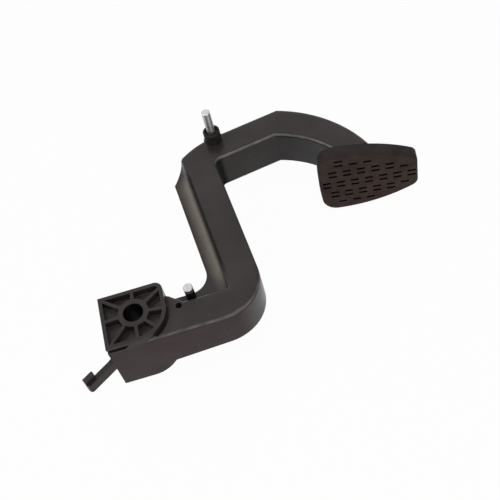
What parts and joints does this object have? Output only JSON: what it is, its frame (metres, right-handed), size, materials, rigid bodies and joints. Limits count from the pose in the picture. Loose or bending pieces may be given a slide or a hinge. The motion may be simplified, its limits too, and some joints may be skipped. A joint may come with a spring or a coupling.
{
  "type": "clutch pedal",
  "caption": "Moulded clutch pedal lever with a ribbed pivot hub, a cranked box arm, a stop pin, a pushrod pin and a rubber foot pad.",
  "frame": {"origin": "middle of the pivot bore, on its axis", "axes": "+Z along the pivot bore, towards the side with the pins; +X along the lower limb, away from the hub; +Y towards the knee"},
  "size_m": [0.3398, 0.2264, 0.1153],
  "materials": {
    "lever_plastic": "matte, finely grained",
    "pad_rubber": "matte",
    "pin_steel": "turned, bright",
    "sleeve_rubber": "matte",
    "bush_plastic": "satin"
  },
  "bodies": {
    "root": {"pedal_lever": "lever_plastic", "pedal_pad": "pad_rubber", "stop_pin": "pin_steel", "stop_sleeve": "sleeve_rubber", "pushrod_pin": "pin_steel", "pushrod_bush": "bush_plastic"}
  },
  "joints": []
}
